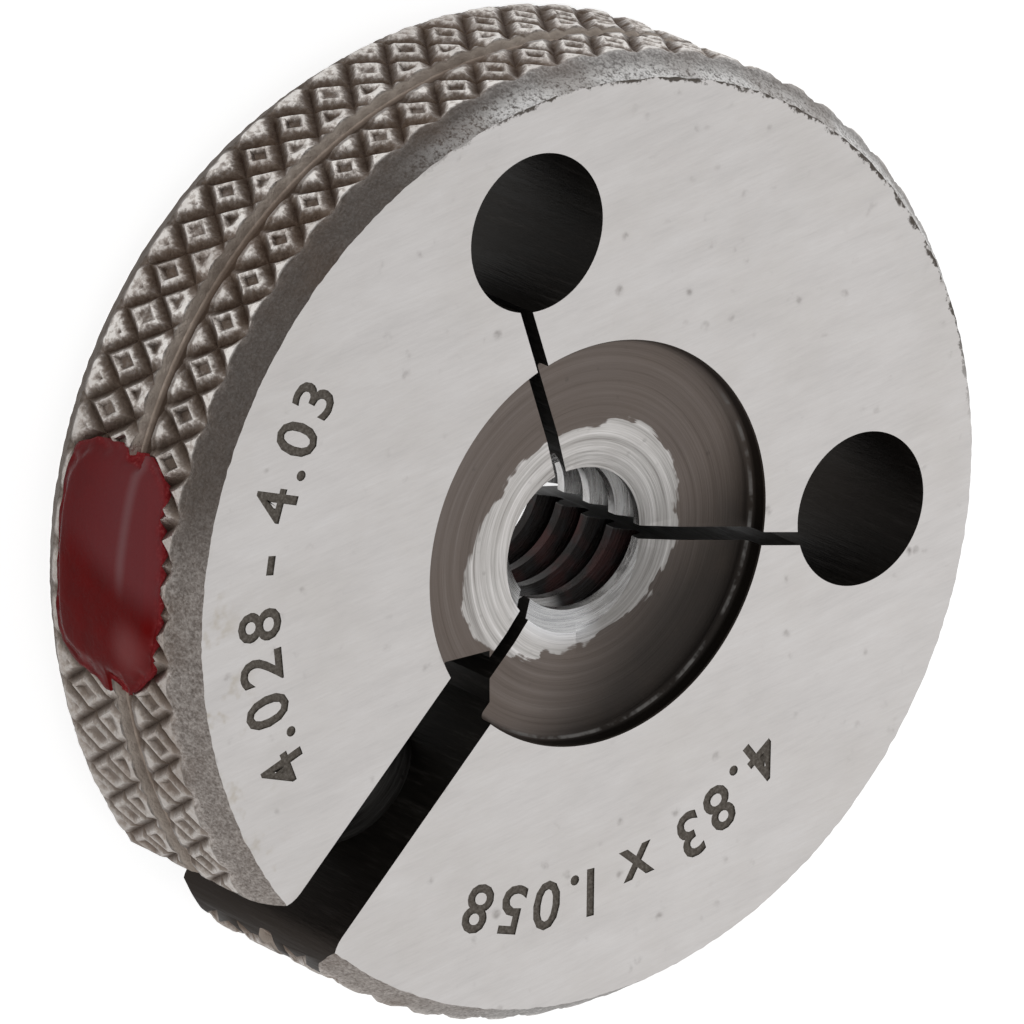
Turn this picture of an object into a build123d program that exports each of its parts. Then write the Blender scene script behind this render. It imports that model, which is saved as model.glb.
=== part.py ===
from build123d import *
import os
from math import degrees, pi, sqrt

# Adjustable thread ring gauge, NOT GO pattern, for a No. 10-24 external thread, in millimetres.
# The ring lies on its back face: Z is the axis of the bore, the origin is the centre of the
# back face, and the wide slot that lets the ring be set opens towards -Y. The screws that set
# and lock it lie along X in a hole that crosses that slot.

# ---- Ring body, turned ----
body_diameter = 25.4            # over the crests of the knurl
body_thickness = 6.51
rim_chamfer_height = 0.85       # along the axis
rim_chamfer_depth = 0.51        # towards the axis
mark_groove_width = 0.72        # groove round the rim that marks a NOT GO ring
mark_groove_floor = 0.24        # width of its bottom
mark_groove_depth = 0.3
mark_groove_above_middle = 0.345
recess_diameter = 10.56         # turned recess round the bore, on both faces
front_recess_depth = 0.52
back_recess_depth = 0.8
recess_corner_radius = 0.2
cone_diameter = 6.24            # shallow lapped cone between the recess floor and the bore
cone_depth = 0.24
mouth_diameter = 4.0            # mouth of the threaded bore
mouth_depth = 0.12
bore_diameter = 3.8             # crests of the No. 10-24 thread

# ---- Knurl, rolled on the rim ----
knurl_count = 64
knurl_row_height = 0.96         # from one row of groove crossings to the next
knurl_groove_width = 0.53
knurl_groove_depth = 0.24

# ---- Slots that let the ring spring ----
terminal_slot_width = 0.35
terminal_hole_diameter = 4.1
right_slot_angle = 33.0         # from +X, towards +Y
right_slot_shift = 0.21         # of its middle plane, away from the wide slot
right_hole_reach = 8.5          # from the bore's axis, along the slot
right_hole_shift = 1.0          # from the bore's axis, square to the slot
left_slot_angle = 153.0
left_slot_shift = 0.0
left_hole_reach = 8.8
left_hole_shift = -0.93
wide_slot_width = 1.95
wide_slot_shift = -0.46         # of its middle plane, along X
wide_slot_reach = 3.68          # from the bore's axis to the point of its inner end
wide_slot_corner_radius = 0.88
link_slot_width = 0.4           # saw cut from the wide slot into the bore
link_slot_shift = -0.13

# ---- Screws across the wide slot ----
screw_line_inset = 4.7          # from the rim in to the screws' axis
screw_fit = 0.05                # all round a screw, shank or sleeve in its hole
sleeve_diameter = 3.8
sleeve_bore = 2.5
sleeve_length = 3.44
adjuster_diameter = 4.08
adjuster_notch_width = 0.64
adjuster_notch_depth = 0.72
lock_diameter = 2.26
lock_tip_inset = 3.12           # from the rim in to the screw's tip, along the screw
lock_head_inset = 2.88          # from the rim in to the outer face of the head
lock_head_diameter = 3.6
lock_head_height = 1.36
lock_head_round = 0.24
lock_slot_width = 0.56
lock_slot_depth = 0.64

# ---- Sealing wax over the screw hole ----
wax_length = 5.92               # round the rim
wax_width = 4.32                # along the axis
wax_corner_radius = 1.84
wax_height = 0.24               # over the knurl's crests
wax_edge_round = 0.18

body_radius = body_diameter / 2
middle = body_thickness / 2
past_rim = 2 * body_diameter    # reach of a cut that runs out of the rim
adjuster_hole_diameter = adjuster_diameter + 2 * screw_fit
sleeve_hole_diameter = sleeve_diameter + 2 * screw_fit
lock_hole_diameter = lock_diameter + 2 * screw_fit
slot_left = wide_slot_shift - wide_slot_width / 2
slot_right = wide_slot_shift + wide_slot_width / 2
screw_line_distance = body_radius - screw_line_inset
rim_on_screw_line = sqrt(body_radius**2 - screw_line_distance**2)
sleeve_end = slot_right - sleeve_length
lock_head_end = lock_head_inset - rim_on_screw_line
adjuster_end = lock_head_end + lock_head_height
lock_tip = rim_on_screw_line - lock_tip_inset


def rim_blank():
    """The solid blank with its chamfers and marking groove, one flat to each knurl crest."""
    groove_height = middle + mark_groove_above_middle
    edge = body_radius - rim_chamfer_depth
    floor = body_radius - mark_groove_depth
    rings = [
        (0, edge),
        (rim_chamfer_height, body_radius),
        (groove_height - mark_groove_width / 2, body_radius),
        (groove_height - mark_groove_floor / 2, floor),
        (groove_height + mark_groove_floor / 2, floor),
        (groove_height + mark_groove_width / 2, body_radius),
        (body_thickness - rim_chamfer_height, body_radius),
        (body_thickness, edge),
    ]
    outline = [Pos(0, 0, z) * RegularPolygon(radius, knurl_count) for z, radius in rings]
    return loft(outline, ruled=True)


def turned_inside():
    """What the lathe takes out round the axis: both recesses, their cones and the bore."""
    front = body_thickness
    back_floor, front_floor = back_recess_depth, front - front_recess_depth
    back_cone, front_cone = back_floor + cone_depth, front_floor - cone_depth
    section = make_face(
        Polyline(
            (0, front),
            (recess_diameter / 2, front),
            (recess_diameter / 2, front_floor),
            (cone_diameter / 2, front_floor),
            (mouth_diameter / 2, front_cone),
            (bore_diameter / 2, front_cone - mouth_depth),
            (bore_diameter / 2, back_cone + mouth_depth),
            (mouth_diameter / 2, back_cone),
            (cone_diameter / 2, back_floor),
            (recess_diameter / 2, back_floor),
            (recess_diameter / 2, 0),
            (0, 0),
            close=True,
        )
    )
    floor_corners = [
        v
        for v in section.vertices()
        if v.X > recess_diameter / 2 - recess_corner_radius
        and min(abs(v.Y - back_floor), abs(v.Y - front_floor)) < recess_corner_radius
    ]
    section = fillet(floor_corners, recess_corner_radius)
    return revolve(Plane.XZ * section, Axis.Z)


def knurl_groove(low, high, lean):
    """One straight V cut in the rim between two heights, leaning round the ring."""
    start = -lean * (high - low) / 2
    vee = make_face(
        Polyline(
            (body_radius - knurl_groove_depth, start),
            (body_radius + knurl_groove_depth, start + knurl_groove_width),
            (body_radius + knurl_groove_depth, start - knurl_groove_width),
            close=True,
        )
    )
    slant = Vector(0, lean, 1)
    return extrude(Pos(0, 0, low) * vee, amount=(high - low) * slant.length, dir=slant)


def knurl_cuts():
    """Both hands of V cuts, in a band each side of the marking groove."""
    run_out = rim_chamfer_height * knurl_groove_depth / rim_chamfer_depth
    groove_height = middle + mark_groove_above_middle
    bands = [
        (rim_chamfer_height - run_out, groove_height),
        (groove_height, body_thickness - rim_chamfer_height + run_out),
    ]
    lean = pi * body_radius / knurl_count / knurl_row_height
    cuts = []
    for low, high in bands:
        for hand in (-1, 1):
            travel = hand * lean * ((low + high) / 2 - knurl_row_height)
            cut = Rot(0, 0, degrees(travel / body_radius)) * knurl_groove(low, high, hand * lean)
            cuts += [Rot(0, 0, n * 360 / knurl_count) * cut for n in range(knurl_count)]
    return cuts


def flared_corner(wall, side):
    """Points where the wide slot's wall turns round its corner on to the rim."""
    centre = Vector(
        wall + side * wide_slot_corner_radius,
        -sqrt(
            (body_radius - wide_slot_corner_radius) ** 2
            - (wall + side * wide_slot_corner_radius) ** 2
        ),
    )
    on_wall = centre - Vector(side * wide_slot_corner_radius, 0)
    on_rim = centre.normalized() * body_radius
    between = (on_rim + on_wall) / 2 - centre
    half_way = centre + between.normalized() * wide_slot_corner_radius
    return on_wall, half_way, on_rim


def wide_slot():
    """The setting slot: pointed inner end, straight walls, corners rounded at the rim."""
    left_wall, left_mid, left_rim = flared_corner(slot_left, -1)
    right_wall, right_mid, right_rim = flared_corner(slot_right, 1)
    shoulder = -wide_slot_reach - wide_slot_width / 2
    outline = [
        ThreePointArc(left_rim, left_mid, left_wall),
        Polyline(
            left_wall,
            (slot_left, shoulder),
            (wide_slot_shift, -wide_slot_reach),
            (slot_right, shoulder),
            right_wall,
        ),
        ThreePointArc(right_wall, right_mid, right_rim),
        Polyline(right_rim, right_rim * 1.2, left_rim * 1.2, left_rim),
    ]
    return extrude(make_face(Curve() + outline), amount=body_thickness)


def saw_cut(width, reach, shift=0.0):
    """A full-height cut from the bore's axis along +X, its middle plane shifted along Y."""
    return Pos(reach / 2, shift, middle) * Box(reach, width, body_thickness)


def terminal_slot(slot_shift, hole_reach, hole_shift):
    """A narrow slot along +X with the hole that ends it, set to one side of it."""
    hole = Pos(hole_reach, hole_shift, middle) * Cylinder(terminal_hole_diameter / 2, body_thickness)
    return [saw_cut(terminal_slot_width, hole_reach, slot_shift), hole]


def across(diameter, start, end):
    """A round bar on the screws' line between two places along X."""
    place = Pos((start + end) / 2, -screw_line_distance, middle) * Rot(0, 90, 0)
    return place * Cylinder(diameter / 2, end - start)


def ring_body():
    body = rim_blank() - knurl_cuts() - turned_inside()
    cuts = [wide_slot()]
    link_reach = wide_slot_reach + wide_slot_width / 2
    cuts.append(Rot(0, 0, -90) * saw_cut(link_slot_width, link_reach, link_slot_shift))
    right = terminal_slot(right_slot_shift, right_hole_reach, right_hole_shift)
    left = terminal_slot(left_slot_shift, left_hole_reach, left_hole_shift)
    cuts += [Rot(0, 0, right_slot_angle) * cut for cut in right]
    cuts += [Rot(0, 0, left_slot_angle) * cut for cut in left]
    cuts.append(across(adjuster_hole_diameter, -past_rim, sleeve_end))
    cuts.append(across(sleeve_hole_diameter, sleeve_end, wide_slot_shift))
    cuts.append(across(lock_hole_diameter, wide_slot_shift, past_rim))
    return body - cuts


def adjusting_sleeve():
    """Plain ground bush that crosses the slot and bears on its far wall."""
    tube = across(sleeve_diameter, sleeve_end, slot_right)
    return tube - across(sleeve_bore, sleeve_end, slot_right)


def adjusting_screw():
    """Hollow screw behind the sleeve, notched across its outer end for a driver."""
    tube = across(adjuster_diameter, adjuster_end, sleeve_end)
    tube -= across(sleeve_bore, adjuster_end, sleeve_end)
    notch = Box(adjuster_notch_depth, adjuster_notch_width, adjuster_diameter)
    notch_middle = adjuster_end + adjuster_notch_depth / 2
    return tube - Pos(notch_middle, -screw_line_distance, middle) * notch


def locking_screw():
    """Cheese-head screw through both, into the far side of the slot."""
    head = across(lock_head_diameter, lock_head_end, adjuster_end)
    outer_edge = head.edges().filter_by(GeomType.CIRCLE).sort_by(Axis.X)[0]
    head = fillet(outer_edge, lock_head_round)
    slot = Box(lock_slot_depth, lock_head_diameter, lock_slot_width)
    slot_middle = lock_head_end + lock_slot_depth / 2
    head -= Pos(slot_middle, -screw_line_distance, middle) * slot
    return head + across(lock_diameter, adjuster_end, lock_tip)


def wax_seal(body):
    """Sealing wax run into the screw hole and smoothed over the knurl round it."""
    mouth = Vector(-rim_on_screw_line, -screw_line_distance)
    outward = mouth.normalized()
    keyed = 2 * mark_groove_depth
    pad_plane = Plane(
        origin=outward * (body_radius - keyed) + Vector(0, 0, middle),
        x_dir=(-outward.Y, outward.X, 0),
        z_dir=outward,
    )
    outline = pad_plane * RectangleRounded(wax_length, wax_width, wax_corner_radius)
    pad = extrude(outline, amount=keyed + body_thickness)
    pad &= Pos(0, 0, middle) * Cylinder(body_radius + wax_height, body_thickness)
    crown = pad.faces().filter_by(GeomType.CYLINDER).sort_by(SortBy.AREA)[-1]
    pad = fillet(crown.edges(), wax_edge_round)
    plug = across(adjuster_hole_diameter + 2 * screw_fit, -body_diameter, lock_head_end)
    plug &= Pos(0, 0, middle) * Cylinder(body_radius, body_thickness)
    return pad + plug - body


body = ring_body()
pieces = {
    "ring_body": body,
    "adjusting_sleeve": adjusting_sleeve(),
    "adjusting_screw": adjusting_screw(),
    "locking_screw": locking_screw(),
    "wax_seal": wax_seal(body),
}
os.makedirs("parts", exist_ok=True)
for name, piece in pieces.items():
    export_step(piece, f"parts/{name}.step")
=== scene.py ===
from math import atan2, ceil, cos, hypot, pi, radians, sin, sqrt, tau
import bmesh
import bpy
from mathutils import Matrix, Vector, noise


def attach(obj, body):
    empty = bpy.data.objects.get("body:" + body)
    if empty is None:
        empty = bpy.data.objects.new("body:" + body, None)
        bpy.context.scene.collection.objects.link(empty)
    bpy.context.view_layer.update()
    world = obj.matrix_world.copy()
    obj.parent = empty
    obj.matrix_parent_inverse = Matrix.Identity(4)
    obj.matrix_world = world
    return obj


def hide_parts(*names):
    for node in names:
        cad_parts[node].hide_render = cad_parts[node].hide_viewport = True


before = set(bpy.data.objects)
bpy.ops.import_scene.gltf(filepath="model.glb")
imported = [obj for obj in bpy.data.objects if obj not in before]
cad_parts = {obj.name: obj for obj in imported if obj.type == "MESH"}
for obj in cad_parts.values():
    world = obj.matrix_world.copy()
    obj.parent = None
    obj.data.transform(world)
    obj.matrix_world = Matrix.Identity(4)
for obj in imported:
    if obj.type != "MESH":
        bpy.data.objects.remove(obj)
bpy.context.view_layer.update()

# ---- Ring blank: the rim -----------------------------------------------------------------------
# The gauge is one round of hardened tool steel. The lathe turns and chamfers its rim, two knurling
# rolls press crossed grooves into it, and a narrow tool cuts the groove that marks a NOT GO ring.
# It is modelled in millimetres and made metres once it is whole.

rim_radius = 12.7
ring_height = 6.51
chamfer_heights = (0.85, 5.66)  # inner edges of the back and front chamfers
chamfer_depth = 0.51
mark_groove_heights = (3.24, 3.96)
mark_groove_depth = 0.3

diamond_columns = 64
row_height = 0.96               # from one row of groove crossings to the next
steps_per_row = 8               # mesh steps between two crossings, both ways
knurl_depth = 0.24
knurl_share = 0.5               # of the space between grooves that their walls take
crater_depth = 0.13             # the rolls leave the middle of each diamond unfilled
knurl_unevenness = 0.16         # share of its depth that comes and goes round the rim
knurl_wear = 0.22               # share lost on the side that is handled most
worn_side = radians(165)        # a quarter turn before the most worn place
blast_size, blast_depth = 0.28, 0.055
scuff_size, scuff_depth = 0.2, 0.025
half_pitch = pi / diamond_columns


def add_node(tree, kind, sockets, **settings):
    """Adds a shader node; each named socket is given a value or another node's output."""
    made = tree.nodes.new("ShaderNode" + kind)
    for name, value in settings.items():
        setattr(made, name, value)
    for name, value in sockets.items():
        if isinstance(value, bpy.types.NodeSocket):
            tree.links.new(value, made.inputs[name])
        else:
            made.inputs[name].default_value = value
    return made


def mixed(tree, share, colour, other):
    """The first colour where the share is 0 and the other where it is 1."""
    mix = add_node(tree, "Mix", {0: share, 6: colour, 7: other}, data_type="RGBA")
    return mix.outputs[2]


def graded(tree, value, low, high, start=0.0, end=1.0):
    """A value carried smoothly from one range to another, held at its ends."""
    sockets = {"Value": value, "From Min": low, "From Max": high, "To Min": start, "To Max": end}
    return add_node(tree, "MapRange", sockets, interpolation_type="SMOOTHSTEP").outputs[0]


def worked(tree, operation, first, second=0.0):
    """What a sum or another piece of arithmetic makes of two values."""
    return add_node(tree, "Math", {0: first, 1: second}, operation=operation).outputs[0]


def ramp(tree, value, *stops):
    """A colour read off a scale of places and colours."""
    scale = add_node(tree, "ValToRGB", {"Fac": value})
    while len(scale.color_ramp.elements) < len(stops):
        scale.color_ramp.elements.new(1.0)
    for element, (place, colour) in zip(scale.color_ramp.elements, stops):
        element.position = place
        element.color = colour
    return scale.outputs["Color"]


def tint(red, green, blue):
    """A solid colour from its linear red, green and blue."""
    return (red, green, blue, 1.0)


def cloud(tree, place, size, detail=2.0, roughness=0.5):
    """Even noise with lumps of about that size in millimetres."""
    sockets = {"Vector": place, "Scale": 1 / size, "Detail": detail, "Roughness": roughness}
    return add_node(tree, "TexNoise", sockets).outputs["Fac"]


def along(tree, place, direction):
    """How far a place lies along a direction."""
    sockets = {0: place, 1: direction}
    return add_node(tree, "VectorMath", sockets, operation="DOT_PRODUCT").outputs["Value"]


def off(tree, value, middle):
    """How far a value is from a middle one, either way."""
    return worked(tree, "ABSOLUTE", worked(tree, "SUBTRACT", value, middle))


def make_group(name, inputs, outputs):
    """A shader node group with named sockets; returns it with its input and output nodes."""
    group = bpy.data.node_groups.new(name, "ShaderNodeTree")
    for side, sockets in (("INPUT", inputs), ("OUTPUT", outputs)):
        for socket, kind in sockets.items():
            group.interface.new_socket(socket, in_out=side, socket_type="NodeSocket" + kind)
    return group, group.nodes.new("NodeGroupInput"), group.nodes.new("NodeGroupOutput")


def gauge_places():
    """Where a point of the gauge is, in millimetres: its place, distance from the axis, height."""
    outputs = {"Place": "Vector", "Radius": "Float", "Height": "Float"}
    group, _, out = make_group("gauge_places", {}, outputs)
    coords = add_node(group, "TexCoord", {}).outputs["Object"]
    place = add_node(group, "VectorMath", {0: coords, "Scale": 1000.0}, operation="SCALE").outputs[0]
    flat = add_node(group, "VectorMath", {0: place, 1: (1, 1, 0)}, operation="MULTIPLY").outputs[0]
    radius = add_node(group, "VectorMath", {0: flat}, operation="LENGTH").outputs["Value"]
    height = add_node(group, "SeparateXYZ", {0: place}).outputs["Z"]
    for name, socket in (("Place", place), ("Radius", radius), ("Height", height)):
        group.links.new(socket, out.inputs[name])
    return group


def steel_stains():
    """Dark pits and soft brown clouds of oil and rust on steel."""
    inputs = {"Place": "Vector", "Pit Size": "Float", "Pits": "Float"}
    group, given, out = make_group("steel_stains", inputs, {"Pits": "Float", "Cloud": "Float"})
    warped = cloud(group, given.outputs["Place"], 0.5, 3.0)
    cells = add_node(group, "TexVoronoi", {"Vector": given.outputs["Place"], "Randomness": 1.0})
    group.links.new(worked(group, "DIVIDE", 1.0, given.outputs["Pit Size"]), cells.inputs["Scale"])
    spot = graded(group, cells.outputs["Distance"], 0.08, 0.3, 1.0, 0.0)
    few = graded(group, warped, worked(group, "SUBTRACT", 1.0, given.outputs["Pits"]), 0.9)
    group.links.new(worked(group, "MULTIPLY", spot, few), out.inputs["Pits"])
    soft = graded(group, cloud(group, given.outputs["Place"], 3.5, 4.0, 0.6), 0.35, 0.75)
    group.links.new(soft, out.inputs["Cloud"])
    return group


places_group = gauge_places()
stains_group = steel_stains()


def new_material(name, **values):
    """A material with its shader's plain values set, and its node tree and shader."""
    material = bpy.data.materials.new(name)
    material.use_nodes = True
    shader = material.node_tree.nodes["Principled BSDF"]
    for socket, value in values.items():
        shader.inputs[socket.replace("_", " ")].default_value = value
    return material, material.node_tree, shader


def placed_group(tree, group, **sockets):
    """Places a group in a material with its own values, and returns what it puts out."""
    made = tree.nodes.new("ShaderNodeGroup")
    made.node_tree = group
    for name, value in sockets.items():
        socket = made.inputs[name.replace("_", " ")]
        if isinstance(value, bpy.types.NodeSocket):
            tree.links.new(value, socket)
        else:
            socket.default_value = value
    return made.outputs


def bumped(tree, shader, height, depth):
    """Joins a bump of that depth in millimetres to the shader."""
    bump = add_node(tree, "Bump", {"Height": height, "Distance": depth / 1000, "Strength": 1.0})
    tree.links.new(bump.outputs[0], shader.inputs["Normal"])


def rolled_steel():
    """Knurled rim: worn bright crests and painted shade in the hollows and grooves, painted light and
    shade in the marking groove, blasted chamfers with painted shade away from the lamp and painted
    glints.
    """
    material, tree, shader = new_material("rolled_steel", Metallic=0.85)
    here = placed_group(tree, places_group)
    place, radius, height = here["Place"], here["Radius"], here["Height"]
    grain = cloud(tree, place, 0.16, 3.0, 0.65)
    dust = cloud(tree, place, 0.07, 2.0, 0.6)
    patches = cloud(tree, place, 2.2, 2.0)
    # Bright worn crests, then painted shade that darkens the knurl with depth, through grey hollows to
    # dark brown grooves.
    sunk = worked(tree, "SUBTRACT", rim_radius, radius)
    worn = worked(tree, "ADD", sunk, graded(tree, grain, 0.2, 0.8, -0.055, 0.055))
    knurl_wear_and_shade = ramp(
        tree,
        worked(tree, "DIVIDE", worn, 0.3),
        (0.06, tint(0.8, 0.765, 0.73)),
        (0.15, tint(0.54, 0.495, 0.46)),
        (0.32, tint(0.22, 0.187, 0.165)),
        (0.5, tint(0.15, 0.114, 0.09)),
        (0.9, tint(0.09, 0.058, 0.04)),
    )
    smeared = graded(tree, along(tree, place, (-0.34, -0.94, 0)), 6.5, 10.5, 0.0, 0.6)
    taupe = ramp(tree, grain, (0.3, tint(0.13, 0.1, 0.08)), (0.7, tint(0.33, 0.28, 0.24)))
    # Painted shade: in the smeared patch too, the colour darkens with depth in the grooves.
    taupe = mixed(tree, graded(tree, sunk, 0.08, 0.24, 0.0, 0.7), taupe, tint(0.085, 0.06, 0.045))
    knurl_wear_and_shade = mixed(tree, smeared, knurl_wear_and_shade, taupe)
    low, high = mark_groove_heights
    from_low = graded(tree, height, low - 0.05, high + 0.05)
    # Painted light on the marking groove's lower wall and floor, and painted shade under its upper
    # wall.
    groove_light_and_shade = ramp(
        tree,
        from_low,
        (0.0, tint(0.66, 0.58, 0.51)),
        (0.16, tint(0.5, 0.42, 0.36)),
        (0.25, tint(0.25, 0.2, 0.165)),
        (0.4, tint(0.16, 0.12, 0.095)),
        (0.48, tint(0.08, 0.055, 0.04)),
        (1.0, tint(0.05, 0.033, 0.023)),
    )
    on_chamfer = graded(tree, off(tree, height, ring_height / 2), 2.38, 2.44)
    in_groove = graded(tree, off(tree, height, (low + high) / 2), 0.33, 0.38, 1.0, 0.0)
    in_groove = worked(tree, "MULTIPLY", in_groove, graded(tree, sunk, 0.03, 0.09))
    # Painted shade: a dark brown band along the upper lip of the marking groove.
    painted_lip_shade = graded(tree, off(tree, height, high + 0.05), 0.04, 0.12, 0.75, 0.0)
    knurl_wear_and_shade = mixed(tree, painted_lip_shade, knurl_wear_and_shade, tint(0.075, 0.052, 0.038))
    # Painted shade: the chamfers darken on the -X side, away from the lamp.
    shade_away_from_lamp = graded(tree, along(tree, place, (-1, 0, 0)), 9.3, 11.3)
    both = worked(tree, "MULTIPLY", worked(tree, "ADD", grain, dust), 0.5)
    blasted = ramp(
        tree,
        both,
        (0.35, tint(0.2, 0.188, 0.18)),
        (0.5, tint(0.37, 0.352, 0.34)),
        (0.64, tint(0.62, 0.6, 0.585)),
    )
    gritty = ramp(tree, both, (0.38, tint(0.23, 0.185, 0.155)), (0.62, tint(0.54, 0.475, 0.43)))
    blasted = mixed(tree, smeared, blasted, gritty)
    blasted = mixed(tree, worked(tree, "MULTIPLY", shade_away_from_lamp, 0.78), blasted, tint(0.105, 0.082, 0.067))
    # Painted glints: near-white flecks on the front chamfer by the face, on the top side only.
    top_side = graded(tree, along(tree, place, (-0.26, 0.97, 0)), 6.0, 9.5)
    glint = worked(tree, "MULTIPLY", graded(tree, height, 5.8, 6.45), graded(tree, both, 0.36, 0.56))
    blasted = mixed(tree, worked(tree, "MULTIPLY", glint, top_side), blasted, tint(0.9, 0.89, 0.88))
    back = graded(tree, height, 0.7, 0.95, 0.8, 0.0)
    blasted = mixed(tree, back, blasted, tint(0.1, 0.074, 0.055))
    colour = mixed(tree, in_groove, knurl_wear_and_shade, groove_light_and_shade)
    colour = mixed(tree, on_chamfer, colour, blasted)
    # Patches of rust.
    red_brown_patches = worked(tree, "MULTIPLY", graded(tree, patches, 0.45, 0.7), 0.35)
    colour = mixed(tree, red_brown_patches, colour, tint(0.14, 0.09, 0.06))
    tree.links.new(colour, shader.inputs["Base Color"])
    rough = graded(tree, sunk, 0.02, 0.2, 0.34, 0.62)
    rough = worked(tree, "ADD", rough, graded(tree, grain, 0.2, 0.8, -0.06, 0.1))
    tree.links.new(rough, shader.inputs["Roughness"])
    bumped(tree, shader, worked(tree, "ADD", grain, dust), 0.02)
    return material


def nearest_groove(count, period):
    """How far a count of mesh steps lies from the nearest multiple of the period."""
    rest = count % period
    return min(rest, period - rest)


def knurl_tile():
    """One column of the knurl, bent to the rim: each square is split along its nearest groove."""
    columns, rows = 2 * steps_per_row, ceil(ring_height / row_height * steps_per_row)
    tile = bmesh.new()
    bmesh.ops.create_grid(tile, x_segments=columns, y_segments=rows, size=0.5)
    bmesh.ops.translate(tile, vec=(0.5, 0.5, 0), verts=tile.verts)
    bmesh.ops.scale(tile, vec=(columns, rows, 1), verts=tile.verts)
    for square in list(tile.faces):
        corners = sorted(square.verts, key=lambda v: round(v.co.x) + round(v.co.y))
        i, j = round(corners[0].co.x), round(corners[0].co.y)
        rising = nearest_groove(i - j - steps_per_row, columns)
        falling = nearest_groove(i + j + 1 - steps_per_row, columns)
        split = corners[1:3] if falling <= rising else corners[::3]
        bmesh.utils.face_split(square, *split)
    step = row_height / steps_per_row
    bmesh.ops.scale(tile, vec=(half_pitch / steps_per_row, step, 1), verts=tile.verts)
    every_part = tile.verts[:] + tile.edges[:] + tile.faces[:]
    bmesh.ops.bisect_plane(
        tile, geom=every_part, plane_co=(0, ring_height, 0), plane_no=(0, 1, 0), clear_outer=True
    )
    for v in tile.verts:
        angle, height = v.co.x, v.co.y
        v.co = (rim_radius * cos(angle), rim_radius * sin(angle), height)
    return tile


def ease(value, low, high):
    """0 below low, 1 above high and smooth between."""
    share = min(max((value - low) / (high - low), 0), 1)
    return share * share * (3 - 2 * share)


def knurl_depth_at(angle, height):
    """How deep the knurl lies under its crests, from the two families of grooves."""
    across, up = angle / half_pitch, height / row_height
    reach = min(abs((across + up) % 2 - 1), abs((across - up) % 2 - 1))
    place = Vector((cos(angle) * 3, sin(angle) * 3, height * 0.5))
    bite = 1 + knurl_unevenness * noise.noise(place)
    bite -= knurl_wear * ease(sin(angle - worn_side), 0.75, 1)
    wall = knurl_share * bite
    low, high = chamfer_heights
    edge_gap = 0
    if low < height < high:
        edge_gap = min(abs(height - h) for h in mark_groove_heights + chamfer_heights)
    groove = knurl_depth * bite * max(1 - reach / wall, 0) * (0.5 + 0.5 * ease(edge_gap, 0, 0.4))
    sunk = ease(reach, wall, 0.78) * ease(edge_gap, 0.12, 0.55)
    return groove + crater_depth * sunk * (1 + 0.5 * noise.noise(place * 2.7))


def rim_profile(height):
    """Radius of the turned rim: chamfers at both ends and a round-cornered marking groove."""
    low, high = chamfer_heights
    past = max((low - height) / low, (height - high) / (ring_height - high), 0)
    radius = rim_radius - chamfer_depth * past
    bottom, top = mark_groove_heights
    off_middle = abs(height - (bottom + top) / 2) / ((top - bottom) / 2)
    if off_middle < 1:
        radius -= mark_groove_depth * (1 - off_middle**4) ** 0.25
    return radius


def fine_grain(point, size, depth):
    """Small lumps and hollows, never proud of the surface."""
    return depth * (noise.noise(point / size) * 0.5 + 0.5)


def ring_rim():
    """The knurled rim from the back face's edge to the front face's, as an open band."""
    rim = knurl_tile()
    tile = rim.verts[:] + rim.edges[:] + rim.faces[:]
    turn = tau * (diamond_columns - 1) / diamond_columns
    bmesh.ops.spin(
        rim, geom=tile, axis=(0, 0, 1), angle=turn, steps=diamond_columns - 1, use_duplicate=True
    )
    bmesh.ops.remove_doubles(rim, verts=rim.verts, dist=0.001)
    low, high = chamfer_heights
    for v in rim.verts:
        angle, height = atan2(v.co.y, v.co.x), v.co.z
        lathe_cut = rim_profile(height)
        if not low <= height <= high:
            lathe_cut -= fine_grain(v.co, blast_size, blast_depth)
        knurled = rim_radius - knurl_depth_at(angle, height)
        radius = min(lathe_cut, knurled) - fine_grain(v.co, scuff_size, scuff_depth)
        v.co = (radius * cos(angle), radius * sin(angle), height)
    return rim


rolled = rolled_steel()

# ---- Ring blank: the inside --------------------------------------------------------------------
# Each face has a turned recess round the bore, deeper at the back, with a shallow lapped cone in
# the middle. The section is one open line from the front face to the back face, spun once round.

recess_radius = 5.28
front_floor, back_floor = 5.99, 0.8
recess_corner = 0.2
cone_radius, mouth_radius = 3.12, 1.94
front_cone, back_cone = 5.87, 0.92
pilot_radius = 1.5              # the tap opens it to the thread's crests
pilot_run = 0.2
spin_steps = 256
recess_off_centre = (0.052, 0.128, 0)   # the recess was turned a little off the rim's axis
lip_width, lip_height = 0.03, 0.04      # broken edge between each recess and its face


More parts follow.
